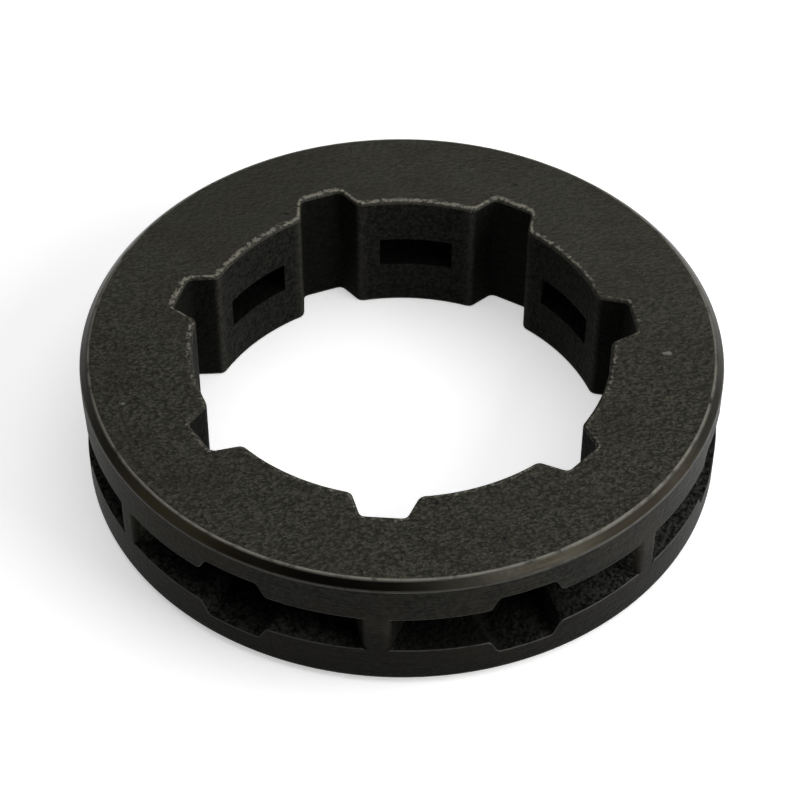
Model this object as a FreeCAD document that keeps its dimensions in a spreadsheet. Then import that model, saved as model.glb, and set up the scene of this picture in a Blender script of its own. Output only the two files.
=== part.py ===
"""Rim sprocket for a chain saw clutch drum, cast in one piece.

A flat ring with a splined bore slides on the drum's splined hub. Pockets in the outer wall take the
tangs of the chain's drive links. Each pocket is a wedge between two teeth: it tapers inwards in both
directions, opens into the bore through a window in the middle of a land, and has a taller notch at
its centre, where chips leave. The rim works either way up, so both faces are alike.

Frame: millimetres, +Z along the axis, origin at the centre of the lower face. A land, its window and
its pocket lie on +Y, and the spline grooves and the teeth lie half a step from those. With an odd
count a groove and its tooth lie on -Y.
"""
import FreeCAD, Part
import math
import os
import Sketcher

NODE = "rim_sprocket"
CLOSE = 0.001

# Driving dimensions: name, value and what it measures.
SIZES = (
    ("teeth", 7, "teeth, pockets and spline grooves around the rim"),
    ("outer_diameter", 29.2, "ground outer wall that carries the chain's straps"),
    ("rim_width", 6.4, "height from face to face"),
    ("rim_chamfer", 0.37, "chamfer between the outer wall and each face"),
    ("bore_diameter", 19.0, "lands that slide on the hub"),
    ("bore_chamfer", 0.14, "broken edge around the bore on each face"),
    ("groove_depth", 1.2, "land to groove floor, on the groove's centre line"),
    ("groove_mouth", 2.93, "groove width at the lands"),
    ("groove_floor", 1.97, "groove width at its floor"),
    ("mouth_radius", 0.4, "round between a land and a groove flank"),
    ("floor_radius", 0.3, "round between a groove flank and the floor"),
    ("tooth_tip", 1.1, "width of a tooth at the outer wall, before its edges are rounded"),
    ("tooth_radius", 0.36, "round between the outer wall and a tooth's sides"),
    ("pocket_height", 2.1, "height of a pocket at the outer wall, on its centre line"),
    ("window_length", 3.5, "width of a window across its land"),
    ("window_height", 1.6, "height of a window at the bore"),
    ("notch_height", 3.55, "overall height of the notch at the middle of a pocket"),
    ("notch_length", 3.3, "notch width at the pocket's edge"),
    ("notch_crown", 2.54, "notch width at its top and bottom"),
    ("notch_depth", 2.6, "notch depth in from the outer wall"),
    ("notch_radius", 0.25, "round at the corners and the mouth of the notch"),
    ("overrun", 0.6, "how far a cut starts or ends outside the metal"),
)

# Formulas that several features share, in the names of the sheet.
RIM_RADIUS = "(sheet.outer_diameter / 2)"
LAND_RADIUS = "(sheet.bore_diameter / 2)"
MID_HEIGHT = "(sheet.rim_width / 2)"

# Largest share of a width, depth or step that a round may take up, so that the rounds never meet.
GROOVE_ROUND_SHARE = 0.45
TOOTH_ROUND_SHARE = 0.45
NOTCH_ROUND_SHARE = 0.2

# A groove is a trapezium that narrows outwards from the lands to its floor.
FLOOR_DISTANCE = f"({LAND_RADIUS} + sheet.groove_depth)"
MOUTH_DISTANCE = f"sqrt({LAND_RADIUS}^2 - (sheet.groove_mouth / 2)^2)"
FLANK_SLOPE = f"((sheet.groove_mouth - sheet.groove_floor) / 2 / ({FLOOR_DISTANCE} - {MOUTH_DISTANCE}))"
GROOVE_START = f"({MOUTH_DISTANCE} - sheet.overrun)"
GROOVE_START_HALF = f"(sheet.groove_mouth / 2 + {FLANK_SLOPE} * sheet.overrun)"
DEEPEST_ROUND = f"sheet.groove_depth * {GROOVE_ROUND_SHARE}"
FLOOR_ROUND = f"min(sheet.floor_radius; sheet.groove_floor * {GROOVE_ROUND_SHARE}; {DEEPEST_ROUND})"
MOUTH_ROUND = f"min(sheet.mouth_radius; {DEEPEST_ROUND})"

# A pocket's side runs straight from a tooth's tip at the outer wall to the end of the window.
TOOTH_ROUND = f"min(sheet.tooth_radius; sheet.tooth_tip * {TOOTH_ROUND_SHARE})"
POCKET_ANGLE = f"(180 deg / sheet.teeth - asin(sheet.tooth_tip / 2 / {RIM_RADIUS}))"
TIP_HALF = f"({RIM_RADIUS} * sin({POCKET_ANGLE}))"
TIP_DISTANCE = f"({RIM_RADIUS} * cos({POCKET_ANGLE}))"
WINDOW_DISTANCE = f"sqrt({LAND_RADIUS}^2 - (sheet.window_length / 2)^2)"
SIDE_SLOPE = f"(({TIP_HALF} - sheet.window_length / 2) / ({TIP_DISTANCE} - {WINDOW_DISTANCE}))"
ROOF_SLOPE = f"((sheet.pocket_height - sheet.window_height) / 2 / ({RIM_RADIUS} - {WINDOW_DISTANCE}))"

# The notch's sloping sides run on into the pocket and meet at its mid height.
NOTCH_SLOPE = "((sheet.notch_length - sheet.notch_crown) / (sheet.notch_height - sheet.pocket_height))"
NOTCH_WAIST_HALF = f"(sheet.notch_length / 2 + {NOTCH_SLOPE} * sheet.pocket_height / 2)"
NOTCH_STEP = "(sheet.notch_height - sheet.pocket_height)"
NOTCH_ROUND = f"min(sheet.notch_radius; {NOTCH_STEP} * {NOTCH_ROUND_SHARE})"


def make_sheet(doc):
    """Spreadsheet with one row for each driving dimension: name, value, meaning."""
    sheet = doc.addObject("Spreadsheet::Sheet", "sheet")
    for row, (alias, value, meaning) in enumerate(SIZES, start=1):
        sheet.set(f"A{row}", alias)
        sheet.set(f"B{row}", str(value))
        sheet.set(f"C{row}", meaning)
        sheet.setAlias(f"B{row}", alias)
    doc.recompute()
    return sheet


def origin_feature(body, role):
    """One of the body's own planes or axes, found by its role."""
    for feature in body.Origin.OriginFeatures:
        if feature.Role == role:
            return feature
    raise RuntimeError(f"the body has no {role}")


def new_sketch(body, name, plane, offset=None):
    """Empty sketch on one of the body's planes, moved along the plane's normal by a formula."""
    sketch = body.newObject("Sketcher::SketchObject", name)
    sketch.AttachmentSupport = (origin_feature(body, plane), "")
    sketch.MapMode = "FlatFace"
    if offset:
        sketch.setExpression("AttachmentOffset.Base.z", offset)
    return sketch


def draw_circle(sketch, diameter):
    """Circle about the sketch's origin with its diameter bound to a formula."""
    start = 10.0
    number = sketch.addGeometry(Part.Circle(FreeCAD.Vector(), FreeCAD.Vector(0, 0, 1), start), False)
    sketch.addConstraint(Sketcher.Constraint("Coincident", number, 3, -1, 1))
    place = sketch.addConstraint(Sketcher.Constraint("Diameter", number, 2 * start))
    sketch.setExpression(f"Constraints[{place}]", diameter)


def draw_polygon(sketch, corners):
    """Closed polygon whose corners are (x formula, y formula), each bound to its own constraint."""
    places = [[sketch.evalExpression(formula) for formula in corner] for corner in corners]
    points = [FreeCAD.Vector(float(x), float(y), 0) for x, y in places]
    count = len(points)
    for index in range(count):
        sketch.addGeometry(Part.LineSegment(points[index], points[(index + 1) % count]), False)
    for index in range(count):
        sketch.addConstraint(Sketcher.Constraint("Coincident", index, 2, (index + 1) % count, 1))
    for index, (x_formula, y_formula) in enumerate(corners):
        point = points[index]
        for kind, value, formula in (("DistanceX", point.x, x_formula), ("DistanceY", point.y, y_formula)):
            number = sketch.addConstraint(Sketcher.Constraint(kind, -1, 1, index, 1, value))
            sketch.setExpression(f"Constraints[{number}]", formula)


def edges_where(feature, test):
    """Names of the feature's edges that pass a test."""
    return [f"Edge{number}" for number, edge in enumerate(feature.Shape.Edges, start=1) if test(edge)]


def radius_at(point):
    """Distance of a point from the rim's axis."""
    return math.hypot(point.x, point.y)


def is_upright(edge):
    """True for a straight edge along the axis."""
    ends = edge.Vertexes
    return len(ends) == 2 and radius_at(ends[0].Point.sub(ends[1].Point)) < CLOSE


def polar_pattern(body, name, originals):
    """The original features repeated once for each tooth around the axis."""
    pattern = body.newObject("PartDesign::PolarPattern", name)
    pattern.Originals = originals
    pattern.Axis = (origin_feature(body, "Z_Axis"), [""])
    pattern.Angle = 360
    pattern.setExpression("Occurrences", "sheet.teeth")
    body.Tip = pattern
    return pattern


def check_smaller(doc, before, after):
    """A cut that points away from the metal removes nothing, so its volume is compared."""
    doc.recompute()
    if not after.Shape.Volume < before.Shape.Volume - CLOSE:
        raise RuntimeError(f"{after.Name} removes nothing")


def make_ring(doc, body):
    """Plain ring: the outer wall and the lands as two circles, raised to the rim's width."""
    sketch = new_sketch(body, "ring_outline", "XY_Plane")
    draw_circle(sketch, "sheet.outer_diameter")
    draw_circle(sketch, "sheet.bore_diameter")
    ring = body.newObject("PartDesign::Pad", "ring")
    ring.Profile = sketch
    ring.setExpression("Length", "sheet.rim_width")
    doc.recompute()
    return ring


def cut_grooves(doc, body, ring):
    """Spline grooves through the bore, half a step from the pockets."""
    sketch = new_sketch(body, "groove_outline", "XY_Plane")
    about_axis = FreeCAD.Rotation(FreeCAD.Vector(0, 0, 1), 1)
    sketch.AttachmentOffset = FreeCAD.Placement(FreeCAD.Vector(), about_axis)
    sketch.setExpression("AttachmentOffset.Rotation.Angle", "180 deg / sheet.teeth")
    draw_polygon(sketch, (
        (GROOVE_START_HALF, GROOVE_START),
        ("sheet.groove_floor / 2", FLOOR_DISTANCE),
        ("-sheet.groove_floor / 2", FLOOR_DISTANCE),
        (f"-{GROOVE_START_HALF}", GROOVE_START),
    ))
    groove = body.newObject("PartDesign::Pocket", "groove")
    groove.Profile = sketch
    groove.Type = "ThroughAll"
    groove.Reversed = True
    check_smaller(doc, ring, groove)
    grooves = polar_pattern(body, "grooves", [groove])
    check_smaller(doc, groove, grooves)
    return grooves


def round_grooves(doc, body, sheet, grooves):
    """Rounds along the upright edges: at the groove floors, then where the flanks meet the lands."""
    land = sheet.bore_diameter / 2
    middle = land + sheet.groove_depth / 2

    def is_at_floor(edge):
        return is_upright(edge) and radius_at(edge.CenterOfMass) > middle

    def is_at_land(edge):
        return is_upright(edge) and abs(radius_at(edge.CenterOfMass) - land) < CLOSE

    floors = body.newObject("PartDesign::Fillet", "floor_rounds")
    floors.Base = (grooves, edges_where(grooves, is_at_floor))
    floors.setExpression("Radius", FLOOR_ROUND)
    doc.recompute()
    mouths = body.newObject("PartDesign::Fillet", "mouth_rounds")
    mouths.Base = (floors, edges_where(floors, is_at_land))
    mouths.setExpression("Radius", MOUTH_ROUND)
    doc.recompute()
    return mouths


def break_edges(doc, body, sheet, base):
    """Chamfers on both faces: around the outer wall and along the bore's splined outline."""
    rim = sheet.outer_diameter / 2
    levels = (0, sheet.rim_width)

    def lies_on_face(edge):
        return any(all(abs(v.Z - level) < CLOSE for v in edge.Vertexes) for level in levels)

    def is_outer(edge):
        return lies_on_face(edge) and abs(radius_at(edge.Vertexes[0].Point) - rim) < CLOSE

    outer = body.newObject("PartDesign::Chamfer", "rim_chamfers")
    outer.Base = (base, edges_where(base, is_outer))
    outer.setExpression("Size", "sheet.rim_chamfer")
    doc.recompute()
    limit = sheet.bore_diameter / 2 + sheet.groove_depth + CLOSE + sheet.groove_floor / 2

    def is_inner(edge):
        return lies_on_face(edge) and radius_at(edge.Vertexes[0].Point) < limit

    inner = body.newObject("PartDesign::Chamfer", "bore_chamfers")
    inner.Base = (outer, edges_where(outer, is_inner))
    inner.setExpression("Size", "sheet.bore_chamfer")
    doc.recompute()
    return inner


def pocket_half_size(distance):
    """Half the width and half the height of a pocket at a distance from the axis, from its walls' slopes."""
    outwards = f"({distance} - {WINDOW_DISTANCE})"
    width = f"(sheet.window_length / 2 + {SIDE_SLOPE} * {outwards})"
    height = f"(sheet.window_height / 2 + {ROOF_SLOPE} * {outwards})"
    return width, height


def cut_pockets(doc, body, base):
    """Wedge through the wall, from the window to the teeth, and the notch at its centre."""
    start = f"({WINDOW_DISTANCE} - sheet.overrun)"
    end = f"({RIM_RADIUS} + sheet.overrun)"
    start_width, start_height = pocket_half_size(start)
    end_width, end_height = pocket_half_size(end)
    wedge = body.newObject("PartDesign::SubtractiveWedge", "pocket_wedge")
    for name, formula in (
        ("Ymin", start),
        ("Xmin", f"-{start_width}"),
        ("Xmax", start_width),
        ("Zmin", f"{MID_HEIGHT} - {start_height}"),
        ("Zmax", f"{MID_HEIGHT} + {start_height}"),
        ("Ymax", end),
        ("X2min", f"-{end_width}"),
        ("X2max", end_width),
        ("Z2min", f"{MID_HEIGHT} - {end_height}"),
        ("Z2max", f"{MID_HEIGHT} + {end_height}"),
    ):
        wedge.setExpression(name, formula)
    check_smaller(doc, base, wedge)
    sketch = new_sketch(body, "notch_outline", "XZ_Plane", f"-({RIM_RADIUS} - sheet.notch_depth)")
    crown = "sheet.notch_crown / 2"
    draw_polygon(sketch, (
        (f"-{crown}", f"{MID_HEIGHT} - sheet.notch_height / 2"),
        (crown, f"{MID_HEIGHT} - sheet.notch_height / 2"),
        (NOTCH_WAIST_HALF, MID_HEIGHT),
        (crown, f"{MID_HEIGHT} + sheet.notch_height / 2"),
        (f"-{crown}", f"{MID_HEIGHT} + sheet.notch_height / 2"),
        (f"-{NOTCH_WAIST_HALF}", MID_HEIGHT),
    ))
    notch = body.newObject("PartDesign::Pocket", "notch")
    notch.Profile = sketch
    notch.setExpression("Length", "sheet.notch_depth + sheet.overrun")
    check_smaller(doc, wedge, notch)
    pockets = polar_pattern(body, "pockets", [wedge, notch])
    check_smaller(doc, notch, pockets)
    return pockets


def round_teeth(doc, body, sheet, pockets):
    """Rounds along the upright edges of the teeth on the outer wall."""
    rim = sheet.outer_diameter / 2

    def is_tooth_edge(edge):
        return is_upright(edge) and abs(radius_at(edge.CenterOfMass) - rim) < CLOSE

    rounds = body.newObject("PartDesign::Fillet", "tooth_rounds")
    rounds.Base = (pockets, edges_where(pockets, is_tooth_edge))
    rounds.setExpression("Radius", TOOTH_ROUND)
    doc.recompute()
    return rounds


def round_notches(doc, body, sheet, teeth):
    """Rounds along the notch edges that run straight in from the outer wall: its corners and its mouth."""
    rim = sheet.outer_diameter / 2

    def is_notch_edge(edge):
        if edge.Curve.TypeId != "Part::GeomLine" or is_upright(edge):
            return False
        inner, outer = sorted(radius_at(v.Point) for v in edge.Vertexes)
        return abs(outer - rim) < CLOSE and outer - inner > sheet.notch_depth / 2

    rounds = body.newObject("PartDesign::Fillet", "notch_rounds")
    rounds.Base = (teeth, edges_where(teeth, is_notch_edge))
    rounds.setExpression("Radius", NOTCH_ROUND)
    doc.recompute()
    return rounds


def make_rim(doc, sheet):
    """The whole rim as one body."""
    body = doc.addObject("PartDesign::Body", NODE)
    body.Label = NODE
    ring = make_ring(doc, body)
    grooves = cut_grooves(doc, body, ring)
    rounded = round_grooves(doc, body, sheet, grooves)
    broken = break_edges(doc, body, sheet, rounded)
    pockets = cut_pockets(doc, body, broken)
    teeth = round_teeth(doc, body, sheet, pockets)
    round_notches(doc, body, sheet, teeth)
    return body


def check_model(doc, body):
    """Stops if a feature failed or the finished body is not one valid solid."""
    for item in doc.Objects:
        if "Invalid" in item.State or "Error" in item.State:
            raise RuntimeError(f"{item.Name} failed: {item.State}")
    shape = body.Shape
    if shape.isNull() or not shape.isValid() or len(shape.Solids) != 1:
        raise RuntimeError(f"{body.Label} is not one valid solid")


def main():
    os.makedirs("parts", exist_ok=True)
    doc = FreeCAD.newDocument("rim")
    sheet = make_sheet(doc)
    body = make_rim(doc, sheet)
    doc.recompute()
    check_model(doc, body)
    body.Shape.exportStep(f"parts/{NODE}.step")
    print(f"{NODE}: {body.Shape.Volume:.2f} mm3, {len(body.Shape.Faces)} faces")


main()
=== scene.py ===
"""Looks of a cast rim sprocket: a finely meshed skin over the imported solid, on a pale floor.

The skin follows the solid's own sizes. One fourteenth of its upper half, from the middle of a pocket to
the middle of a tooth, is worked out as grids of points. Mirroring and turning those grids gives the whole
ring, which is welded into one closed mesh. Lengths are in millimetres until the mesh is made.
"""
import math

import bmesh
import bpy
import numpy as np
from mathutils import Matrix, Vector


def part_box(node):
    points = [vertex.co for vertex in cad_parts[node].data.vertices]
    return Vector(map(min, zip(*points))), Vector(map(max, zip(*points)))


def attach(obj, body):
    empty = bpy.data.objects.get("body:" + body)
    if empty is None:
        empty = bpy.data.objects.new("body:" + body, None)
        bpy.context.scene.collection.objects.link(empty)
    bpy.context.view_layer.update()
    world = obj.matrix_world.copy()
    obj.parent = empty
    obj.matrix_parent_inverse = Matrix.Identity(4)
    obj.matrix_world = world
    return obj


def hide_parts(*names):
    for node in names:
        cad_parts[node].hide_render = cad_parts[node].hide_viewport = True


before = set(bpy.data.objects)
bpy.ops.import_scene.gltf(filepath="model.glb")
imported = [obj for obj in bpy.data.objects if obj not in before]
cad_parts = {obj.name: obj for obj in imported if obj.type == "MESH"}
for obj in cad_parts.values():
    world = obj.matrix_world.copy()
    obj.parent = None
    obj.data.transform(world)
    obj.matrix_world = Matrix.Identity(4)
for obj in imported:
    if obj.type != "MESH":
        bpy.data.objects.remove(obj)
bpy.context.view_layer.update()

NODE = "rim_sprocket"
MM = 0.001

# Sizes of the rim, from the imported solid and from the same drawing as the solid.
LOW, HIGH = (np.array(corner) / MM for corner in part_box(NODE))
TEETH = 7
RIM = min(-LOW[0], HIGH[0], -LOW[1], HIGH[1])
WIDTH = HIGH[2] - LOW[2]
HALF = WIDTH / 2
RIM_CHAMFER = 0.37
LAND = 9.5
GROOVE_DEPTH = 1.2
GROOVE_MOUTH = 2.93
GROOVE_FLOOR = 1.97
MOUTH_ROUND = 0.4
FLOOR_ROUND = 0.3
TOOTH_TIP = 1.1
TOOTH_ROUND = 0.36
POCKET_HEIGHT = 2.1
WINDOW_LENGTH = 3.5
WINDOW_HEIGHT = 1.6
NOTCH_HEIGHT = 3.55
NOTCH_LENGTH = 3.3
NOTCH_CROWN = 2.54
NOTCH_DEPTH = 2.6
NOTCH_ROUND = 0.25

# Small rounds that the eye sees only as lines of light: at the bore's edge, at the chamfer's edges on the
# face and on the wall, and at the pockets' edges in the outer wall. An edge is a corner where its faces
# bend by the sharp angle or more.
BORE_BREAK = 0.15
FACE_BREAK = 0.25
WALL_BREAK = 0.15
CUT_EDGE_BREAK = 0.04
CUT_EDGE_SEGMENTS = 2
SHARP = math.radians(30)

# How worn each line of points is: up the bore's round, out over the face from there, round the mouth of a
# groove from its land, and up the chamfer's upper round.
BREAK_WEAR = (0.0, 0.15, 0.5, 0.85, 1.0)
EDGE_WEAR = (1.0, 0.85, 0.42, 0.0)
MOUTH_WEAR = (0.5, 1.0, 0.9, 0.4, 0.0)
FACE_BREAK_WEAR = (0.0, 0.30, 0.65, 1.0, 1.0, 0.0)

# Angles and slopes worked out from the sizes.
HALF_STEP = math.pi / TEETH
TIP_ANGLE = HALF_STEP - math.asin(TOOTH_TIP / 2 / RIM)
WINDOW_ANGLE = math.asin(WINDOW_LENGTH / 2 / LAND)
WINDOW_DISTANCE = LAND * math.cos(WINDOW_ANGLE)
ROOF_SLOPE = (POCKET_HEIGHT - WINDOW_HEIGHT) / 2 / (RIM - WINDOW_DISTANCE)
NOTCH_SLOPE = (NOTCH_LENGTH - NOTCH_CROWN) / (NOTCH_HEIGHT - POCKET_HEIGHT)
NOTCH_BACK = RIM - NOTCH_DEPTH

# Intervals along the stretches of the outlines. The rim's outline and the bore's have as many in all.
CROWN_STEPS = 3
CROWN_ROUND_STEPS = 4
NOTCH_SIDE_STEPS = 2
NOTCH_MOUTH_STEPS = 4
SLOT_STEPS = 15
TOOTH_ROUND_STEPS = 5
TIP_STEPS = 3
NOTCH_STEPS = CROWN_STEPS + CROWN_ROUND_STEPS + NOTCH_SIDE_STEPS + NOTCH_MOUTH_STEPS
OPENING_STEPS = NOTCH_STEPS + SLOT_STEPS
COLUMNS = OPENING_STEPS + TOOTH_ROUND_STEPS + TIP_STEPS
BEHIND_NOTCH_STEPS = 3
WINDOW_STEPS = BEHIND_NOTCH_STEPS + SLOT_STEPS
LAND_END_STEPS = 3
MOUTH_STEPS = 4
FLANK_STEPS = 2
FLOOR_ROUND_STEPS = 3
FLOOR_STEPS = COLUMNS - WINDOW_STEPS - LAND_END_STEPS - MOUTH_STEPS - FLANK_STEPS - FLOOR_ROUND_STEPS
NOTCH_ROWS = 6
POCKET_ROWS = 6
SIDE_ROWS = 3
WALL_BREAK_STEPS = 4
CHAMFER_STEPS = 4

# Rows of points at set distances from an edge, and how many rows lie evenly between those.
NEAR_EDGE = (0.1,)
NEAR_BORE = (0.08, 0.2, 0.45)
NEAR_RIM = (0.12, 0.3)
FACE_ROWS = 4
WALL_ROWS = 3

# Points closer than the first distance are welded and edges shorter than the second are closed, in metres.
WELD_DISTANCE = 1e-7
SLIVER = 1e-8

# Finishes, in the order of the mesh's material slots.
FACE, BORE, POCKET, GROUND, TURNED, RUBBED, CUT = range(7)


def even(count):
    """Fractions from 0 to 1 in a number of equal steps."""
    return np.linspace(0.0, 1.0, count + 1)


def segment(start, stop, count):
    """Points on a straight line from start to stop."""
    start, stop = np.asarray(start, float), np.asarray(stop, float)
    return start + even(count)[:, None] * (stop - start)


def arc(centre, radius, start, stop, count):
    """Points on a circle about a centre, from one angle to another, and the directions to them."""
    angle = start + even(count) * (stop - start)
    direction = np.stack([np.cos(angle), np.sin(angle)], axis=1)
    return np.asarray(centre) + radius * direction, direction


def joined(*stretches):
    """Stretches end to end, each leaving out the point that it shares with the one before."""
    return np.concatenate([stretches[0]] + [stretch[1:] for stretch in stretches[1:]])


def angle_of(vector):
    """Angle of a plane vector from the first axis."""
    return math.atan2(vector[1], vector[0])


def roof(y):
    """Height of a pocket's roof above mid height: a plane that rises outwards from the window."""
    return WINDOW_HEIGHT / 2 + ROOF_SLOPE * (y - WINDOW_DISTANCE)


def on_circle(radius, angle, z):
    """Points at a radius, at angles from the pocket's axis towards the tooth, and at heights."""
    x, y, z = np.broadcast_arrays(radius * np.sin(angle), radius * np.cos(angle), z)
    return np.stack([x, y, z], axis=-1)


def flat(points, z):
    """Plane points lifted to a height."""
    return np.concatenate([points, np.broadcast_to(z, len(points))[:, None]], axis=1)


def ruled(first, last, fractions):
    """Grid of straight lines from each point of one curve to the same point of another.

    fractions holds the share of the way for each row, either one for the row or one for each point.
    """
    share = np.asarray(fractions, float)
    share = share[:, None, None] if share.ndim == 1 else share[:, :, None]
    return first[None] + share * (last - first)[None]


def crowded(first, last, near_first, near_last, between):
    """Row shares for ruled(): rows at set distances from both ends and evenly between those."""
    length = np.linalg.norm(last - first, axis=1)
    head = np.array((0.0,) + near_first)[:, None] / length
    tail = 1.0 - np.array(near_last[::-1] + (0.0,))[:, None] / length
    middle = even(between + 1)[1:-1, None] * (tail[0] - head[-1]) + head[-1]
    return np.concatenate([head, middle, tail])


def bore_outline():
    """Bore from the middle of a land to the middle of a groove, with the directions out of the metal.

    In the groove's own frame a point is (across, along): the land's circle, the round at the mouth, the
    flank, the round at the floor and the floor follow each other without a corner.
    """
    floor = LAND + GROOVE_DEPTH
    mouth = np.array([-GROOVE_MOUTH / 2, math.sqrt(LAND**2 - (GROOVE_MOUTH / 2) ** 2)])
    corner = np.array([-GROOVE_FLOOR / 2, floor])
    along = (corner - mouth) / np.linalg.norm(corner - mouth)
    into_metal = np.array([-along[1], along[0]])
    # The mouth's round touches the flank from the metal's side and the land's circle from outside.
    shifted = mouth + MOUTH_ROUND * into_metal
    reach = shifted @ along
    travel = -reach + math.sqrt(reach**2 - shifted @ shifted + (LAND + MOUTH_ROUND) ** 2)
    mouth_centre = shifted + travel * along
    land_end = mouth_centre * LAND / (LAND + MOUTH_ROUND)
    # The floor's round touches the flank and the floor from the groove's side.
    inside = mouth - FLOOR_ROUND * into_metal
    floor_centre = inside + along * (floor - FLOOR_ROUND - inside[1]) / along[1]
    land_turn = math.atan2(land_end[0], land_end[1])
    window_turn = WINDOW_ANGLE - HALF_STEP
    turns = joined(
        window_turn * even(WINDOW_STEPS) - HALF_STEP * (1 - even(WINDOW_STEPS)),
        window_turn + even(LAND_END_STEPS) * (land_turn - window_turn),
    )
    land_out = -np.stack([np.sin(turns), np.cos(turns)], axis=1)
    mouth_points, mouth_out = arc(
        mouth_centre, MOUTH_ROUND, angle_of(-mouth_centre), angle_of(-into_metal), MOUTH_STEPS
    )
    floor_points, floor_in = arc(
        floor_centre, FLOOR_ROUND, angle_of(into_metal), math.pi / 2, FLOOR_ROUND_STEPS
    )
    flank_points = segment(mouth_points[-1], floor_points[0], FLANK_STEPS)
    last_points = segment(floor_points[-1], (0.0, floor), FLOOR_STEPS)
    points = joined(-LAND * land_out, mouth_points, flank_points, floor_points, last_points)
    outward = joined(
        land_out,
        mouth_out,
        np.broadcast_to(-into_metal, flank_points.shape),
        -floor_in,
        np.broadcast_to((0.0, -1.0), last_points.shape),
    )
    # The groove's axis lies half a step from the pocket's axis.
    turn = np.array([[math.cos(HALF_STEP), -math.sin(HALF_STEP)], [math.sin(HALF_STEP), math.cos(HALF_STEP)]])
    return points @ turn, outward @ turn


def notch_profile(y):
    """Half of the notch's section at a distance y: crown, round, sloping side and the round into the roof.

    The result is (x, z) from the middle of the crown to where the last round meets the roof.
    """
    lean = math.hypot(1.0, NOTCH_SLOPE)
    inwards = np.array([-1.0, -NOTCH_SLOPE]) / lean
    crown = NOTCH_HEIGHT / 2
    crown_centre = np.array([NOTCH_CROWN / 2 + NOTCH_ROUND * (NOTCH_SLOPE - lean), crown - NOTCH_ROUND])
    mouth_height = roof(y) + NOTCH_ROUND
    mouth_centre = np.array(
        [NOTCH_CROWN / 2 + NOTCH_ROUND * lean - NOTCH_SLOPE * (mouth_height - crown), mouth_height]
    )
    crown_round, _ = arc(crown_centre, NOTCH_ROUND, math.pi / 2, angle_of(-inwards), CROWN_ROUND_STEPS)
    mouth_round, _ = arc(
        mouth_centre, NOTCH_ROUND, angle_of(inwards), -math.pi / 2, NOTCH_MOUTH_STEPS
    )
    return joined(
        segment((0.0, crown), crown_round[0], CROWN_STEPS),
        crown_round,
        segment(crown_round[-1], mouth_round[0], NOTCH_SIDE_STEPS),
        mouth_round,
    )


def tooth_round():
    """Round on a tooth's edge from the pocket's side to the outer wall, as plane points."""
    corner = RIM * np.array([math.sin(TIP_ANGLE), math.cos(TIP_ANGLE)])
    window = np.array([WINDOW_LENGTH / 2, WINDOW_DISTANCE])
    along = (window - corner) / np.linalg.norm(window - corner)
    into_tooth = np.array([-along[1], along[0]])
    # The round touches the pocket's side and the outer wall, both from within the tooth.
    shifted = corner + TOOTH_ROUND * into_tooth
    reach = shifted @ along
    travel = -reach - math.sqrt(reach**2 - shifted @ shifted + (RIM - TOOTH_ROUND) ** 2)
    centre = shifted + travel * along
    points, _ = arc(centre, TOOTH_ROUND, angle_of(-into_tooth), angle_of(centre), TOOTH_ROUND_STEPS)
    return points


def rim_profile():
    """Section from the outer wall over the chamfer to the upper face as (radius, height), with its rounds."""
    half_turn = math.tan(math.pi / 8)
    wall = (RIM - WALL_BREAK, HALF - RIM_CHAMFER - WALL_BREAK * half_turn)
    face = (RIM - RIM_CHAMFER - FACE_BREAK * half_turn, HALF - FACE_BREAK)
    lower, _ = arc(wall, WALL_BREAK, 0.0, math.pi / 4, WALL_BREAK_STEPS)
    upper, _ = arc(face, FACE_BREAK, math.pi / 4, math.pi / 2, len(FACE_BREAK_WEAR) - 1)
    return lower, segment(lower[-1], upper[0], CHAMFER_STEPS), upper


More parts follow.
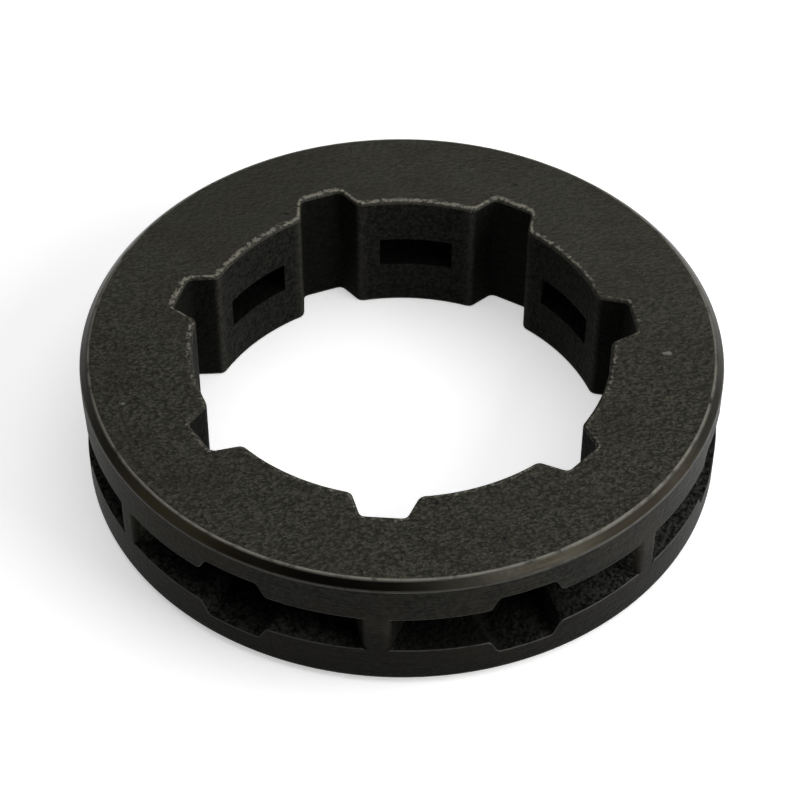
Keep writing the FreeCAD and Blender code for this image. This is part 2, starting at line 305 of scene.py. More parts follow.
def sector_patches():
    """Grids of one sector's upper half, each as (points, finish, wear), and the notch's back.

    A wear holds one value for the grid, for each row or for each column. A grid without one is not worn.
    """
    bore, bore_out = bore_outline()
    lower_round, chamfer, upper_round = rim_profile()
    patches = []

    # Pocket's opening on the outer wall: the notch's section, the slot's edge, and the lip that stands
    # over the tooth's round.
    opening = notch_profile(RIM * math.cos(math.asin(NOTCH_LENGTH / 2 / RIM)))
    slot_start = math.asin(opening[-1, 0] / RIM)
    slot_angles = slot_start + even(SLOT_STEPS) * (TIP_ANGLE - slot_start)
    slot_heights = roof(RIM * np.cos(slot_angles))
    slot_heights[0] = opening[-1, 1]
    rounded = tooth_round()
    tip_start = math.atan2(*rounded[-1])
    lip_angles = TIP_ANGLE + even(TOOTH_ROUND_STEPS) * (tip_start - TIP_ANGLE)
    lip_heights = roof(RIM * np.cos(lip_angles))
    tip_angles = tip_start + even(TIP_STEPS) * (HALF_STEP - tip_start)
    rim_angles = joined(np.arcsin(opening[:, 0] / RIM), slot_angles, lip_angles, tip_angles)
    tip_heights = np.full(TIP_STEPS + 1, lip_heights[-1])
    rim_heights = joined(opening[:, 1], slot_heights, lip_heights, tip_heights)
    edge = on_circle(RIM, rim_angles, rim_heights)

    # Outer wall above the pocket, then the tip of the tooth and its round, down to mid height.
    wall_top = on_circle(RIM, rim_angles, lower_round[0, 1])
    wall_rows = crowded(edge, wall_top, NEAR_EDGE, NEAR_EDGE, WALL_ROWS)
    patches.append((ruled(edge, wall_top, wall_rows), GROUND))
    tip = edge[OPENING_STEPS + TOOTH_ROUND_STEPS :]
    patches.append((ruled(tip * (1.0, 1.0, 0.0), tip, even(SIDE_ROWS)), GROUND))
    round_top = flat(rounded, roof(rounded[:, 1]))
    patches.append((ruled(round_top * (1.0, 1.0, 0.0), round_top, even(SIDE_ROWS)), GROUND))
    lip = edge[OPENING_STEPS : OPENING_STEPS + TOOTH_ROUND_STEPS + 1]
    patches.append((ruled(lip, round_top, even(1)), GROUND))

    # Chamfer and its two worn rounds, turned about the axis.
    upper_wear = np.array(FACE_BREAK_WEAR)[:, None]
    rounds = ((lower_round, CUT, 0.0), (chamfer, TURNED, 0.0), (upper_round, RUBBED, upper_wear))
    for section, finish, wear in rounds:
        patches.append((on_circle(section[:, :1], rim_angles[None], section[:, 1:]), finish, wear))

    # Upper face from the chamfer to the broken edge of the bore, the edge and the bore's wall.
    face_rim = on_circle(upper_round[-1, 0], rim_angles, HALF)
    face_bore = flat(bore - BORE_BREAK * bore_out, HALF)
    face_rows = crowded(face_bore, face_rim, NEAR_BORE, NEAR_RIM, FACE_ROWS)
    face_wear = np.zeros(len(face_rows))
    face_wear[: len(EDGE_WEAR)] = EDGE_WEAR
    patches.append((ruled(face_bore, face_rim, face_rows), FACE, face_wear[:, None]))
    bend = even(len(BREAK_WEAR) - 1) * math.pi / 2
    break_in = BORE_BREAK * (1 - np.cos(bend))[:, None, None]
    break_up = HALF - BORE_BREAK + BORE_BREAK * np.sin(bend)
    broken = bore[None] - break_in * bore_out[None]
    heights = np.broadcast_to(break_up[:, None, None], broken.shape[:2] + (1,))
    patches.append((np.concatenate([broken, heights], axis=2), FACE, np.array(BREAK_WEAR)[:, None]))

    # Pocket: notch walls run straight in, and the roof runs in two stretches to the window's edge.
    back = notch_profile(NOTCH_BACK)
    notch_back = np.insert(back, 1, NOTCH_BACK, axis=1)
    side_run = RIM * math.cos(TIP_ANGLE) - WINDOW_DISTANCE
    side_slope = (RIM * math.sin(TIP_ANGLE) - WINDOW_LENGTH / 2) / side_run
    side_back = WINDOW_LENGTH / 2 + side_slope * (NOTCH_BACK - WINDOW_DISTANCE)
    roof_back = roof(NOTCH_BACK)
    slot_back = segment((back[-1, 0], NOTCH_BACK, roof_back), (side_back, NOTCH_BACK, roof_back), SLOT_STEPS)
    slot_edge = edge[NOTCH_STEPS : OPENING_STEPS + 1]
    # The first row inside the opening starts where the tooth's round meets the pocket's side.
    to_round = np.linalg.norm(round_top[0] - lip[0]) / np.linalg.norm(slot_back[-1] - lip[0])
    depth_rows = np.append(0.0, to_round + even(NOTCH_ROWS - 1) * (1 - to_round))
    patches.append((ruled(edge[: NOTCH_STEPS + 1], notch_back, depth_rows), POCKET))
    outer_roof = ruled(slot_edge, slot_back, depth_rows)
    patches.append((outer_roof, POCKET))
    behind = segment((0.0, NOTCH_BACK, roof_back), slot_back[0], BEHIND_NOTCH_STEPS)
    land = bore[: WINDOW_STEPS + 1]
    window_edge = flat(land, roof(land[:, 1]))
    inner_roof = ruled(joined(behind, slot_back), window_edge, even(POCKET_ROWS))
    patches.append((inner_roof, POCKET))
    flank = joined(outer_roof[1:, -1], inner_roof[:, -1])
    patches.append((ruled(flank * (1.0, 1.0, 0.0), flank, even(SIDE_ROWS)), POCKET))

    # Bore wall: above the window, then from the window's end round the groove.
    bore_top = flat(bore, break_up[0])
    above_top = bore_top[: WINDOW_STEPS + 1]
    above_rows = crowded(window_edge, above_top, NEAR_EDGE, NEAR_BORE, WALL_ROWS)
    patches.append((ruled(window_edge, above_top, above_rows), BORE))
    beside_top = bore_top[WINDOW_STEPS:]
    beside = flat(bore[WINDOW_STEPS:], window_edge[-1, 2])
    beside_rows = crowded(beside, beside_top, NEAR_EDGE, NEAR_BORE, WALL_ROWS)
    mouth_wear = np.zeros(len(beside))
    mouth_wear[LAND_END_STEPS : LAND_END_STEPS + MOUTH_STEPS + 1] = MOUTH_WEAR
    patches.append((ruled(beside, beside_top, beside_rows), BORE, mouth_wear[None]))
    patches.append((ruled(beside * (1.0, 1.0, 0.0), beside, even(SIDE_ROWS)), BORE, mouth_wear[None]))
    return patches, joined(notch_back, behind[::-1])


def whole_ring(patches, back):
    """Every sector's grids as one set of vertices, faces and finishes: mirrored across the pocket and mid
    height, turned about the axis and lifted so that the lower face is at zero."""
    points = np.concatenate([grid.reshape(-1, 3) for grid, *_ in patches] + [back])
    quads, finishes, wears, start = [], [], [], 0
    for grid, finish, *wear in patches:
        rows, columns = grid.shape[:2]
        wears.append(np.broadcast_to(wear[0] if wear else 0.0, (rows, columns)).ravel())
        number = start + np.arange(rows * columns).reshape(rows, columns)
        corners = (number[:-1, :-1], number[:-1, 1:], number[1:, 1:], number[1:, :-1])
        quads.append(np.stack(corners, axis=-1).reshape(-1, 4))
        finishes.append(np.full((rows - 1) * (columns - 1), finish))
        start += rows * columns
    quads = np.concatenate(quads)
    finishes = np.append(np.concatenate(finishes), POCKET)
    last = np.arange(start, len(points))
    vertices, faces = [], []
    for mirror_x in (1, -1):
        for mirror_z in (1, -1):
            for turn in range(TEETH):
                angle = 2 * HALF_STEP * turn
                spun = np.array([[math.cos(angle), -math.sin(angle)], [math.sin(angle), math.cos(angle)]])
                copy = points * (mirror_x, 1, mirror_z)
                copy[:, :2] = copy[:, :2] @ spun.T
                offset = len(points) * len(vertices)
                vertices.append(copy + (0.0, 0.0, HALF))
                faces += (quads + offset).tolist() + [(last + offset).tolist()]
    wears = np.concatenate(wears + [np.zeros(len(back))])
    copies = 4 * TEETH
    return np.concatenate(vertices) * MM, faces, np.tile(finishes, copies), np.tile(wears, copies)


def make_skin(materials):
    """The ring as one welded mesh: pockets' edges in the ground wall rounded, other corners crisp."""
    vertices, faces, finishes, wears = whole_ring(*sector_patches())
    mesh = bpy.data.meshes.new("rim_skin")
    mesh.from_pydata(vertices, [], faces)
    mesh.polygons.foreach_set("material_index", finishes.astype(np.int32))
    mesh.attributes.new("wear", "FLOAT", "POINT").data.foreach_set("value", wears.astype(np.float32))
    for material in materials:
        mesh.materials.append(material)
    weld = bmesh.new()
    weld.from_mesh(mesh)
    bmesh.ops.remove_doubles(weld, verts=weld.verts, dist=WELD_DISTANCE)
    bmesh.ops.dissolve_degenerate(weld, dist=SLIVER, edges=weld.edges)
    bmesh.ops.recalc_face_normals(weld, faces=weld.faces)
    rounding = weld.edges.layers.float.new("bevel_weight_edge")
    for edge in weld.edges:
        if edge.calc_face_angle() < SHARP:
            continue
        if {face.material_index for face in edge.link_faces} == {GROUND, POCKET}:
            edge[rounding] = 1.0
        else:
            edge.smooth = False
    weld.to_mesh(mesh)
    weld.free()
    mesh.polygons.foreach_set("use_smooth", np.ones(len(mesh.polygons), bool))
    skin = bpy.data.objects.new("rim_skin", mesh)
    bpy.context.collection.objects.link(skin)
    bevel = skin.modifiers.new("cut_edges", "BEVEL")
    bevel.width = CUT_EDGE_BREAK * MM
    bevel.segments = CUT_EDGE_SEGMENTS
    bevel.limit_method = "WEIGHT"
    bevel.use_clamp_overlap = False
    bevel.material = CUT
    bevel.harden_normals = True
    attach(skin, "root")
    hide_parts(NODE)


# Colours of the finishes, as linear values.
FACE_DARK = (0.0195, 0.0189, 0.0145)
FACE_LIGHT = (0.0520, 0.0511, 0.0379)
FACE_BROWN = (0.026, 0.021, 0.014)
BORE_DARK = (0.006, 0.006, 0.0052)
BORE_LIGHT = (0.020, 0.020, 0.0170)
POCKET_LIGHT = (0.042, 0.043, 0.039)
BORE_RUBBED = (0.036, 0.035, 0.030)
# Near black of the painted shade in the grooves and pockets.
PAINTED_SHADE = (0.0035, 0.0035, 0.0030)
PIT = (0.005, 0.005, 0.004)
BARE_CAST = (0.18, 0.171, 0.138)
DENT = (0.17, 0.17, 0.16)
WALL_DARK = (0.0060, 0.0060, 0.0052)
WALL_LIGHT = (0.0206, 0.0204, 0.0176)
# Painted shade low on the outer wall, by the floor.
WALL_LOW_SHADE = (0.0035, 0.0035, 0.0032)
WALL_SHEEN = (1.0, 0.96, 0.74, 1.0)
# Warm olive tint of the outer wall's left side, made darker as painted shade.
TARNISH_AND_SHADE = (0.0105, 0.0098, 0.0048)
BRONZED = (0.027, 0.0228, 0.0150)
RUDDY = (0.028, 0.0205, 0.0155)
BROWNED = (0.0095, 0.0082, 0.0060)
STRAW = (0.107, 0.093, 0.055)
# Painted highlight on the chamfer.
PAINTED_HIGHLIGHT = (0.095, 0.090, 0.072)
STEEL = (0.044, 0.042, 0.034)
RUBBED_DARK = (0.020, 0.019, 0.015)
RUBBED_LIGHT = (0.175, 0.168, 0.140)
CUT_DARK = (0.018, 0.018, 0.016)
CUT_LIGHT = (0.050, 0.049, 0.043)

# Cast grain: waves or cells to the millimetre, the share of each in the height, and the spans of values
# over which the brown patches come in and the scattered pits give way.
COARSE_GRAIN, COARSE_SHARE = 3.8, 0.5
FINE_GRAIN, FINE_SHARE = 9.0, 0.25
GRANULES, GRANULE_SHARE = 5.0, 0.25
BROWN_PATCHES, PATCH_SPAN = 0.42, (0.45, 0.70)
SCATTERED_PITS, PIT_SPAN = 0.36, (0.030, 0.055)

# Heights of the grain, or of the tool lines, over which a finish goes from its dark colour to its light one.
FACE_SPAN = (0.38, 0.62)
BORE_SPAN = (0.36, 0.64)
WALL_SPAN = (0.38, 0.62)
CHAMFER_SPAN = (0.20, 0.85)

# How close the face's grain lies along each axis, against the grain elsewhere.
FACE_GRAIN = (0.85, 1.40, 1.0)

# Stretch along Y over which the grain calms down, and by what share.
CALM_FROM, CALM_TO = -4.0, 9.0
CALM = 0.55

# Shares of the brown patches on the faces and on the outer wall.
FACE_PATCHES, WALL_PATCHES = 0.5, 0.35

# Rubbed edges: waves to the millimetre of the grain that breaks them up, with its span and the shares that it
# gives; the direction of the side where the bare metal is painted brighter, which is painted light, with its
# span and shares; and the wear over which the bare metal comes through.
RUB_GRAIN, RUB_SPAN, RUB_SHARES = 4.4, (0.33, 0.67), (0.35, 1.25)
LIT_WORN_SIDE, SIDE_SPAN, SIDE_SHARES = (-0.40, 0.92, 0.0), (0.0, 8.0), (0.64, 1.0)
BARE_SPAN = (0.40, 0.85)

# Places of the larger dents and pits on the upper face, with half their length and half their width.
DENTS = (((12.05, 0.07), 0.22, 0.13), ((-12.04, -4.96), 0.10, 0.09), ((-12.67, -6.65), 0.10, 0.10))
PITS = (((2.18, -9.76), 0.12, 0.12), ((5.18, -11.54), 0.10, 0.12), ((12.08, -2.28), 0.12, 0.10))

# Outline of those marks: where it fades, and the waves, span and amount of its raggedness.
MARK_SPAN = (0.7, 1.2)
RAGGED_GRAIN, RAGGED_SPAN, RAGGED = 6.0, (0.3, 0.7), 0.35

# Places on the chamfer with a painted highlight, straw coloured or browned, on the upper face with painted
# shade, on the outer wall with a warmer tone that is partly painted shade, and in the pockets with painted
# shadow, with their reach and share.
HIGHLIGHT_PLACES = (((4.0, -13.8), 3.4, 0.8),)
STRAW_PLACES = (((-9.4, -10.9), 5.0, 0.75),)
BROWN_PLACES = (((-1.8, -14.3), 3.5, 0.7), ((10.6, -9.6), 5.0, 0.85), ((-13.9, 1.0), 8.0, 0.6))
SHADED_FACE_PLACES = (((-8.0, 9.0), 8.0, 0.4),)
TARNISH_AND_SHADE_PLACES = (((-12.0, -8.0), 9.0, 0.8),)
SHADOWED_POCKET_PLACES = (((3.5, -12.5), 9.0, 0.95),)

# Distances from the axis between which the painted shade of the grooves comes in, and its share.
GROOVE_SHADE_FROM, GROOVE_SHADE_FULL = LAND + 0.02, LAND + 0.25
GROOVE_SHADE = 0.7

# Span of the grain's height that breaks up the rubbing of the lands' edges, and the shares that it gives.
LAND_RUB_SPAN, LAND_RUB_SHARES = (0.35, 0.65), (0.5, 1.0)

# Distances from the axis between which the painted shade of the pockets, black by the windows, gives way, and
# its share.
POCKET_SHADE_FADES, POCKET_SHADE_ENDS = 11.4, 13.6
POCKET_SHADE = 0.95

# Heights between which the painted shade low on the outer wall, by the floor, gives way, and its share.
LOW_SHADE_FULL, LOW_SHADE_ENDS = 2.1, 4.2
LOW_SHADE = 0.6

# Tool lines: waves to the millimetre along each axis, and the shares of lines and grain on the outer wall.
WALL_LINES = (0.35, 0.35, 14.0)
CHAMFER_LINES = (0.3, 0.3, 10.0)
WALL_LINE_SHARE, WALL_GRAIN_SHARE = 0.4, 0.6

# Bright stretches of the machined edges: waves to the millimetre, and the span over which they come in.
BRIGHT_STRETCHES, STRETCH_SPAN = 1.3, (0.24, 0.54)

# Places of the colour sockets on a node that mixes two colours.
MIX_FIRST, MIX_SECOND, MIX_RESULT = 6, 7, 2


def add_node(tree, kind, values=None, **settings):
    """A node with its settings, and its sockets set to values or linked from other sockets."""
    item = tree.nodes.new(kind)
    for name, value in settings.items():
        setattr(item, name, value)
    for name, value in (values or {}).items():
        if isinstance(value, bpy.types.NodeSocket):
            tree.links.new(value, item.inputs[name])
        else:
            item.inputs[name].default_value = value
    return item


def noise(tree, place, scale, detail=2.0, roughness=0.5):
    """Cloudy value about one half, with this many waves to a unit of the place."""
    values = {"Vector": place, "Scale": scale, "Detail": detail, "Roughness": roughness}
    return add_node(tree, "ShaderNodeTexNoise", values).outputs["Fac"]


def cells(tree, place, scale):
    """Distance to the middle of the nearest of many scattered cells."""
    return add_node(tree, "ShaderNodeTexVoronoi", {"Vector": place, "Scale": scale}).outputs["Distance"]


def ramp(tree, value, low, high, to_low=0.0, to_high=1.0):
    """A value carried from one span to another with soft ends."""
    values = {"Value": value, "From Min": low, "From Max": high, "To Min": to_low, "To Max": to_high}
    return add_node(tree, "ShaderNodeMapRange", values, interpolation_type="SMOOTHSTEP").outputs["Result"]


def calc(tree, operation, first, second):
    """Two values put together."""
    return add_node(tree, "ShaderNodeMath", {0: first, 1: second}, operation=operation).outputs[0]


def blend(tree, share, first, second):
    """One colour, and another by the share."""
    values = {0: share}
    for place, colour in ((MIX_FIRST, first), (MIX_SECOND, second)):
        values[place] = colour if isinstance(colour, bpy.types.NodeSocket) else (*colour, 1.0)
    return add_node(tree, "ShaderNodeMix", values, data_type="RGBA").outputs[MIX_RESULT]


def stretched(tree, place, scale):
    """Object coordinates with each axis scaled by itself."""
    values = {0: place, 1: scale}
    return add_node(tree, "ShaderNodeVectorMath", values, operation="MULTIPLY").outputs[0]


def in_millimetres(tree, place):
    """Object coordinates in millimetres."""
    return stretched(tree, place, (1 / MM,) * 3)


def from_axis(tree, place):
    """Distance from the rim's axis in millimetres."""
    level = stretched(tree, place, (1 / MM, 1 / MM, 0.0))
    return add_node(tree, "ShaderNodeVectorMath", {0: level}, operation="LENGTH").outputs["Value"]


def distance_from(tree, place, centre, length, width):
    """Distance from a place on the upper face, counted in half lengths along X and half widths elsewhere."""
    values = {0: place, 1: (*centre, WIDTH)}
    offset = add_node(tree, "ShaderNodeVectorMath", values, operation="SUBTRACT").outputs[0]
    oval = stretched(tree, offset, (1 / length, 1 / width, 1 / width))
    return add_node(tree, "ShaderNodeVectorMath", {0: oval}, operation="LENGTH").outputs["Value"]


def toned(tree, place, colour, places, tone, full=0.2):
    """A colour that takes on a tone about some places: most up to a full share of the reach, none past it."""
    millimetres = in_millimetres(tree, place)
    for centre, reach, most in places:
        distance = distance_from(tree, millimetres, centre, reach, reach)
        colour = blend(tree, ramp(tree, distance, full, 1.0, most, 0.0), colour, tone)
    return colour


def tool_lines(tree, place, waves):
    """Fine lines round the rim: a noise with its own number of waves to the millimetre along each axis."""
    drawn_out = stretched(tree, place, tuple(wave / MM for wave in waves))
    return noise(tree, drawn_out, scale=1.0, detail=3.0, roughness=0.6)


def wear_of(tree):
    """The mesh's own wear."""
    return add_node(tree, "ShaderNodeAttribute", attribute_name="wear").outputs["Fac"]


def new_group(name, takes, gives):
    """An effect that several finishes share: its tree, the sockets it takes and the node it ends in."""
    tree = bpy.data.node_groups.new(name, "ShaderNodeTree")
    for label, kind in takes:
        tree.interface.new_socket(label, in_out="INPUT", socket_type=kind)
    for label in gives:
        tree.interface.new_socket(label, in_out="OUTPUT", socket_type="NodeSocketFloat")
    return tree, tree.nodes.new("NodeGroupInput").outputs, tree.nodes.new("NodeGroupOutput")


def give(tree, end, **sockets):
    """Links the values that a group puts out."""
    for label, socket in sockets.items():
        tree.links.new(socket, end.inputs[label])


def cast_grain_group():
    """Sand grain of the casting: its height, soft patches of colour and a few pits.

    The height is a coarse noise, a fine noise and granules that stand highest at their middles.
    """
    tree, takes, end = new_group("cast_grain", [("Place", "NodeSocketVector")], ["Height", "Patches", "Pits"])
    place = in_millimetres(tree, takes["Place"])
    coarse = noise(tree, place, COARSE_GRAIN, detail=2.0, roughness=0.6)
    fine = noise(tree, place, FINE_GRAIN, detail=1.0)
    sand = calc(tree, "MULTIPLY", coarse, COARSE_SHARE)
    sand = calc(tree, "ADD", sand, calc(tree, "MULTIPLY", fine, FINE_SHARE))
    hollows = calc(tree, "MULTIPLY", cells(tree, place, GRANULES), GRANULE_SHARE)
    height = calc(tree, "SUBTRACT", calc(tree, "ADD", sand, GRANULE_SHARE), hollows)
    patches = ramp(tree, noise(tree, place, BROWN_PATCHES, detail=3.0, roughness=0.55), *PATCH_SPAN)
    pits = ramp(tree, cells(tree, place, SCATTERED_PITS), *PIT_SPAN, 1.0, 0.0)
    give(tree, end, Height=height, Patches=patches, Pits=pits)
    return tree


def edge_wear_group():
    """Where a rubbed edge shows bare metal: along the edge, broken up, and more towards the back of the rim,
    which is painted light.
    """
    takes = [("Place", "NodeSocketVector"), ("Wear", "NodeSocketFloat")]
    tree, takes, end = new_group("edge_wear", takes, ["Worn"])
    place = in_millimetres(tree, takes["Place"])
    grains = ramp(tree, noise(tree, place, RUB_GRAIN, detail=3.0, roughness=0.65), *RUB_SPAN, *RUB_SHARES)
    # Painted light: the bare metal of the rubbed edges grows towards the back of the rim.
    values = {0: place, 1: LIT_WORN_SIDE}
    side = add_node(tree, "ShaderNodeVectorMath", values, operation="DOT_PRODUCT").outputs["Value"]
    far = ramp(tree, side, *SIDE_SPAN, *SIDE_SHARES)
    rubbed = calc(tree, "MULTIPLY", calc(tree, "MULTIPLY", takes["Wear"], far), grains)
    give(tree, end, Worn=ramp(tree, rubbed, *BARE_SPAN))
    return tree


def handling_marks_group():
    """The larger dents and pits of the upper face, each an oval about its place with a ragged outline."""
    tree, takes, end = new_group("handling_marks", [("Place", "NodeSocketVector")], ["Dents", "Pits"])
    place = in_millimetres(tree, takes["Place"])
    ragged = ramp(tree, noise(tree, place, RAGGED_GRAIN), *RAGGED_SPAN, -RAGGED, RAGGED)
    sums = []
    for marks in (DENTS, PITS):
        total = 0.0
        for centre, length, width in marks:
            distance = distance_from(tree, place, centre, length, width)
            spot = ramp(tree, calc(tree, "ADD", distance, ragged), *MARK_SPAN, 1.0, 0.0)
            total = calc(tree, "MAXIMUM", spot, total)
        sums.append(total)
    give(tree, end, Dents=sums[0], Pits=sums[1])
    return tree


def use_group(tree, group, **sockets):
    """A shared effect put into a material."""
    item = tree.nodes.new("ShaderNodeGroup")
    item.node_tree = group
    for label, socket in sockets.items():
        tree.links.new(socket, item.inputs[label])
    return item.outputs


def new_finish(name, roughness, specular, metallic=0.0):
    """A material with its constant values, its tree, its shader and its object coordinates."""
    material = bpy.data.materials.new(name)
    material.use_nodes = True
    tree = material.node_tree
    shader = tree.nodes["Principled BSDF"]
    shader.inputs["Roughness"].default_value = roughness
    shader.inputs["Metallic"].default_value = metallic
    shader.inputs["Specular IOR Level"].default_value = specular
    place = tree.nodes.new("ShaderNodeTexCoord").outputs["Object"]
    return material, tree, shader, place


def relief(tree, shader, height, depth, strength=1.0):
    """Small relief of a height in millimetres on the shader's normal."""
    values = {"Height": height, "Distance": depth * MM, "Strength": strength}
    bump = add_node(tree, "ShaderNodeBump", values)
    tree.links.new(bump.outputs["Normal"], shader.inputs["Normal"])


def face_finish(grain_group, wear_group, marks_group):
    """Dark sand-cast skin of the faces, with brown patches, pits, dents and rubbed edges."""
    material, tree, shader, place = new_finish("cast_face", roughness=0.52, specular=0.18)
    grain = use_group(tree, grain_group, Place=stretched(tree, place, FACE_GRAIN))
    marks = use_group(tree, marks_group, Place=place)
    worn = use_group(tree, wear_group, Place=place, Wear=wear_of(tree))["Worn"]
    # The grain is calmer towards the back of the rim.
    y = add_node(tree, "ShaderNodeSeparateXYZ", {0: place}).outputs["Y"]
    stretch = (CALM_FROM * MM, CALM_TO * MM)
    dark_end = ramp(tree, y, *stretch, 0.0, CALM / 2)
    light_end = ramp(tree, y, *stretch, 1.0, 1.0 - CALM / 2)
    rise = ramp(tree, y, *stretch, 1.0, 1.0 - CALM)
    colour = blend(tree, ramp(tree, grain["Height"], *FACE_SPAN, dark_end, light_end), FACE_DARK, FACE_LIGHT)
    colour = blend(tree, calc(tree, "MULTIPLY", grain["Patches"], FACE_PATCHES), colour, FACE_BROWN)
    # Painted shade: the upper face darker towards the back left.
    colour = toned(tree, place, colour, SHADED_FACE_PLACES, FACE_DARK)
    colour = blend(tree, worn, colour, BARE_CAST)
    colour = blend(tree, marks["Dents"], colour, DENT)
    colour = blend(tree, calc(tree, "MAXIMUM", marks["Pits"], grain["Pits"]), colour, PIT)
    tree.links.new(colour, shader.inputs["Base Color"])
    relief(tree, shader, calc(tree, "MULTIPLY", grain["Height"], rise), depth=0.28)
    return material


def bore_finish(grain_group):
    """Darker scale in the bore, painted shade in the grooves, and rubbed on the lands' edges."""
    material, tree, shader, place = new_finish("cast_bore", roughness=0.7, specular=0.03)
    grain = use_group(tree, grain_group, Place=place)
    broken_up = ramp(tree, grain["Height"], *LAND_RUB_SPAN, *LAND_RUB_SHARES)
    worn = calc(tree, "MULTIPLY", wear_of(tree), broken_up)
    # Painted shade: the grooves' colour darkens out from the lands, deep in the grooves.
    painted_shade = ramp(tree, from_axis(tree, place), GROOVE_SHADE_FROM, GROOVE_SHADE_FULL, 0.0, GROOVE_SHADE)
    colour = blend(tree, ramp(tree, grain["Height"], *BORE_SPAN), BORE_DARK, BORE_LIGHT)
    colour = blend(tree, painted_shade, colour, PAINTED_SHADE)
    colour = blend(tree, worn, colour, BORE_RUBBED)
    tree.links.new(colour, shader.inputs["Base Color"])
    relief(tree, shader, grain["Height"], depth=0.12)
    return material


def pocket_finish(grain_group):
    """Dark scale of the pockets, with painted shade that goes black towards the windows and a patch of
    painted shadow at the front.
    """
    material, tree, shader, place = new_finish("cast_pocket", roughness=0.7, specular=0.03)
    grain = use_group(tree, grain_group, Place=place)
    # Painted shade: the pockets' colour goes black deep inside, towards the windows.
    painted_shade = ramp(tree, from_axis(tree, place), POCKET_SHADE_FADES, POCKET_SHADE_ENDS, POCKET_SHADE, 0.0)
    colour = blend(tree, ramp(tree, grain["Height"], *BORE_SPAN), BORE_DARK, POCKET_LIGHT)
    # Painted shadow: the pockets black in one place at the front.
    colour = toned(tree, place, colour, SHADOWED_POCKET_PLACES, PAINTED_SHADE, full=0.4)
    tree.links.new(blend(tree, painted_shade, colour, PAINTED_SHADE), shader.inputs["Base Color"])
    relief(tree, shader, grain["Height"], depth=0.22)
    return material


def ground_finish(grain_group):
    """Ground outer wall: fine lines round the rim and a faint mottle, a warmer tone on one side that is
    partly painted shade, and painted shade low down by the floor.
    """
    material, tree, shader, place = new_finish("ground_wall", roughness=0.43, specular=0.028)
    shader.inputs["Specular Tint"].default_value = WALL_SHEEN
    grain = use_group(tree, grain_group, Place=place)
    lines = calc(tree, "MULTIPLY", tool_lines(tree, place, WALL_LINES), WALL_LINE_SHARE)
    mottle = calc(tree, "ADD", lines, calc(tree, "MULTIPLY", grain["Height"], WALL_GRAIN_SHARE))
    colour = blend(tree, ramp(tree, mottle, *WALL_SPAN), WALL_DARK, WALL_LIGHT)
    colour = blend(tree, calc(tree, "MULTIPLY", grain["Patches"], WALL_PATCHES), colour, FACE_BROWN)
    # Left of the outer wall warmer and darker: partly the wall's own olive tint, partly painted shade.
    colour = toned(tree, place, colour, TARNISH_AND_SHADE_PLACES, TARNISH_AND_SHADE)
    # Painted shade: the outer wall darker low down, by the floor.
    z = add_node(tree, "ShaderNodeSeparateXYZ", {0: place}).outputs["Z"]
    low_shade = ramp(tree, z, LOW_SHADE_FULL * MM, LOW_SHADE_ENDS * MM, LOW_SHADE, 0.0)
    tree.links.new(blend(tree, low_shade, colour, WALL_LOW_SHADE), shader.inputs["Base Color"])
    relief(tree, shader, mottle, depth=0.05)
    return material


def turned_finish(grain_group):
    """Turned chamfer: bronzed bright metal with ruddy patches, places of their own tone, and a painted
    highlight at the front.
    """
    material, tree, shader, place = new_finish("turned_chamfer", roughness=0.36, specular=0.5, metallic=1.0)
    grain = use_group(tree, grain_group, Place=place)
    lines = tool_lines(tree, place, CHAMFER_LINES)
    colour = blend(tree, ramp(tree, lines, *CHAMFER_SPAN), BRONZED, STEEL)
    colour = blend(tree, grain["Patches"], colour, RUDDY)
    # Painted highlight: the chamfer lighter in one place at the front right.
    colour = toned(tree, place, colour, HIGHLIGHT_PLACES, PAINTED_HIGHLIGHT)
    colour = toned(tree, place, colour, STRAW_PLACES, STRAW)
    colour = toned(tree, place, colour, BROWN_PLACES, BROWNED)
    tree.links.new(colour, shader.inputs["Base Color"])
    relief(tree, shader, grain["Height"], depth=0.012)
    return material


def edge_finish(name, grain_group, dark, light, fades):
    """Rounds of the machined edges, bright in stretches. With fades, the mesh's wear limits the bright."""
    material, tree, shader, place = new_finish(name, roughness=0.42, specular=0.2, metallic=0.3)
    grain = use_group(tree, grain_group, Place=place)
    stretches = noise(tree, in_millimetres(tree, place), BRIGHT_STRETCHES, detail=3.0, roughness=0.65)
    share = ramp(tree, stretches, *STRETCH_SPAN)
    if fades:
        share = calc(tree, "MULTIPLY", share, wear_of(tree))
    tree.links.new(blend(tree, share, dark, light), shader.inputs["Base Color"])
    relief(tree, shader, grain["Height"], depth=0.03, strength=0.7)
    return material


# Camera: where the photograph was taken from, found by fitting the rim's edges in its 800 pixel frame.
# Distances, the sensor and the nearest that it sees are in millimetres.
FRAME_PIXELS = 800
FOCAL_PIXELS = 2490.7
CAMERA_DISTANCE = 117.5
CAMERA_ELEVATION = math.radians(46.467)
CAMERA_AZIMUTH = math.radians(4.04)
CAMERA_ROLL = math.radians(-0.251)
ORIGIN_PIXEL = (401.64, 437.33)
SENSOR = 36.0
NEAREST_SEEN = 1.0


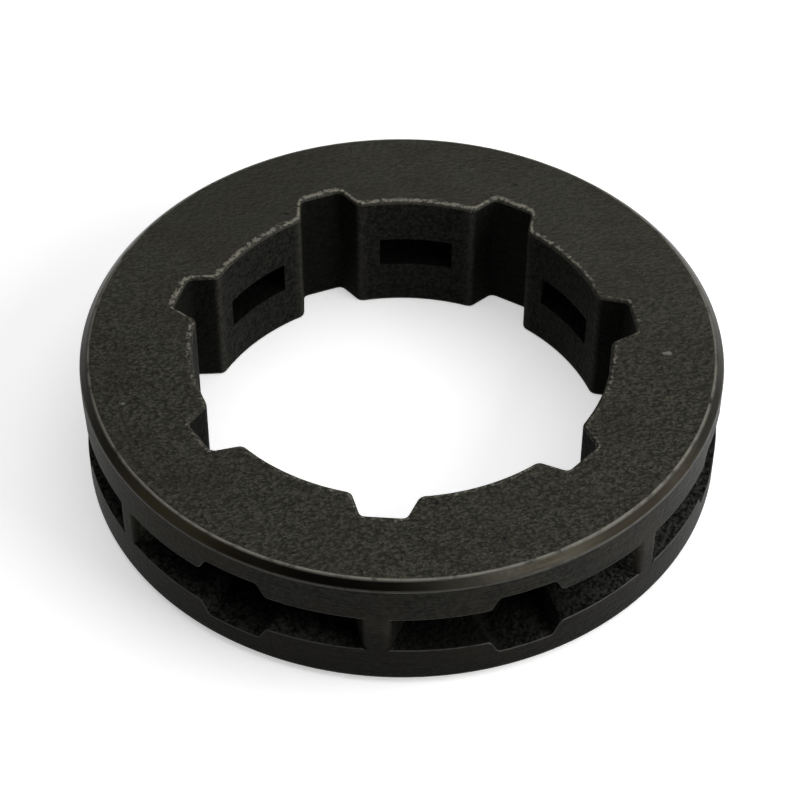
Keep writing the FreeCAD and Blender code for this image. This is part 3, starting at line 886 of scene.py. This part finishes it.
def make_camera():
    """Camera that sees the rim's origin at its pixel, from the fitted distance and angles."""
    out = Vector((
        math.cos(CAMERA_ELEVATION) * math.sin(CAMERA_AZIMUTH),
        -math.cos(CAMERA_ELEVATION) * math.cos(CAMERA_AZIMUTH),
        math.sin(CAMERA_ELEVATION),
    ))
    forward = -out
    right = forward.cross(Vector((0, 0, 1))).normalized()
    across = math.atan2(ORIGIN_PIXEL[0] - FRAME_PIXELS / 2, FOCAL_PIXELS)
    down = math.atan2(ORIGIN_PIXEL[1] - FRAME_PIXELS / 2, FOCAL_PIXELS)
    aim = Matrix.Rotation(down, 3, right) @ forward
    up = right.cross(aim)
    aim = Matrix.Rotation(across, 3, up) @ aim
    right = aim.cross(up).normalized()
    up = Matrix.Rotation(CAMERA_ROLL, 3, aim) @ right.cross(aim)
    right = aim.cross(up)
    data = bpy.data.cameras.new("camera")
    data.sensor_width = SENSOR
    data.lens = FOCAL_PIXELS * SENSOR / FRAME_PIXELS
    data.clip_start = NEAREST_SEEN * MM
    camera = bpy.data.objects.new("camera", data)
    turn = Matrix((right, up, -aim)).transposed()
    camera.matrix_world = Matrix.Translation(out * CAMERA_DISTANCE * MM) @ turn.to_4x4()
    bpy.context.collection.objects.link(camera)
    bpy.context.scene.camera = camera


# Floor: half its side in metres, its colour, its glow by the rim, and the distances from the axis in
# millimetres between which that glow grows to full white.
FLOOR_HALF = 3.0
FLOOR_WHITE = (0.93, 0.93, 0.93, 1.0)
FLOOR_GLOW = 0.46
GLOW_FROM, GLOW_FULL = 60.0, 320.0


def make_floor():
    """Pale floor that keeps the shadow. Its glow is seen, lights nothing and grows away from the rim."""
    mesh = bpy.data.meshes.new("floor")
    corners = [(x * FLOOR_HALF, y * FLOOR_HALF, 0) for x, y in ((-1, -1), (1, -1), (1, 1), (-1, 1))]
    mesh.from_pydata(corners, [], [(0, 1, 2, 3)])
    floor = bpy.data.objects.new("floor", mesh)
    material, tree, shader, place = new_finish("pale_floor", roughness=0.9, specular=0.0)
    shader.inputs["Base Color"].default_value = FLOOR_WHITE
    rays = tree.nodes.new("ShaderNodeLightPath").outputs
    seen = calc(tree, "MAXIMUM", rays["Is Camera Ray"], rays["Is Glossy Ray"])
    seen = calc(tree, "MAXIMUM", seen, rays["Is Transmission Ray"])
    glow = ramp(tree, from_axis(tree, place), GLOW_FROM, GLOW_FULL, FLOOR_GLOW, 1.0)
    tree.links.new(calc(tree, "MULTIPLY", seen, glow), shader.inputs["Emission Color"])
    shader.inputs["Emission Strength"].default_value = 1.0
    mesh.materials.append(material)
    bpy.context.collection.objects.link(floor)


# Lamps: side in degrees from the front, height in degrees, distance and size in metres, and the light that
# each lays on the floor.
LAMPS = (
    ("overhead_softbox", 160, 78, 0.50, 0.70, 2.2),
    ("right_softbox", 74, 27, 0.13, 0.11, 1.3),
    ("left_softbox", -68, 32, 0.50, 0.30, 0.03),
)
ROOM_WHITE = (1.0, 1.0, 1.0, 1.0)
ROOM_LEVEL = 0.05


def make_lights():
    """A dim room and three soft boxes, with none on the camera's side."""
    world = bpy.data.worlds.new("studio")
    bpy.context.scene.world = world
    world.use_nodes = True
    room = world.node_tree.nodes["Background"]
    room.inputs["Color"].default_value = ROOM_WHITE
    room.inputs["Strength"].default_value = ROOM_LEVEL
    for name, azimuth, elevation, distance, size, light in LAMPS:
        turn, rise = math.radians(azimuth), math.radians(elevation)
        out = Vector((math.cos(rise) * math.sin(turn), -math.cos(rise) * math.cos(turn), math.sin(rise)))
        lamp = bpy.data.lights.new(name, "AREA")
        lamp.shape = "SQUARE"
        lamp.size = size
        lamp.energy = light * math.pi * distance**2 / math.sin(rise)
        box = bpy.data.objects.new(name, lamp)
        box.location = out * distance
        box.visible_camera = False
        box.rotation_euler = out.to_track_quat("Z", "Y").to_euler()
        bpy.context.collection.objects.link(box)


bpy.context.scene.view_settings.view_transform = "Standard"
grain_group = cast_grain_group()
wear_group = edge_wear_group()
make_skin([
    face_finish(grain_group, wear_group, handling_marks_group()),
    bore_finish(grain_group),
    pocket_finish(grain_group),
    ground_finish(grain_group),
    turned_finish(grain_group),
    edge_finish("rubbed_edge", grain_group, RUBBED_DARK, RUBBED_LIGHT, fades=True),
    edge_finish("cut_edge", grain_group, CUT_DARK, CUT_LIGHT, fades=False),
])
make_floor()
make_lights()
make_camera()
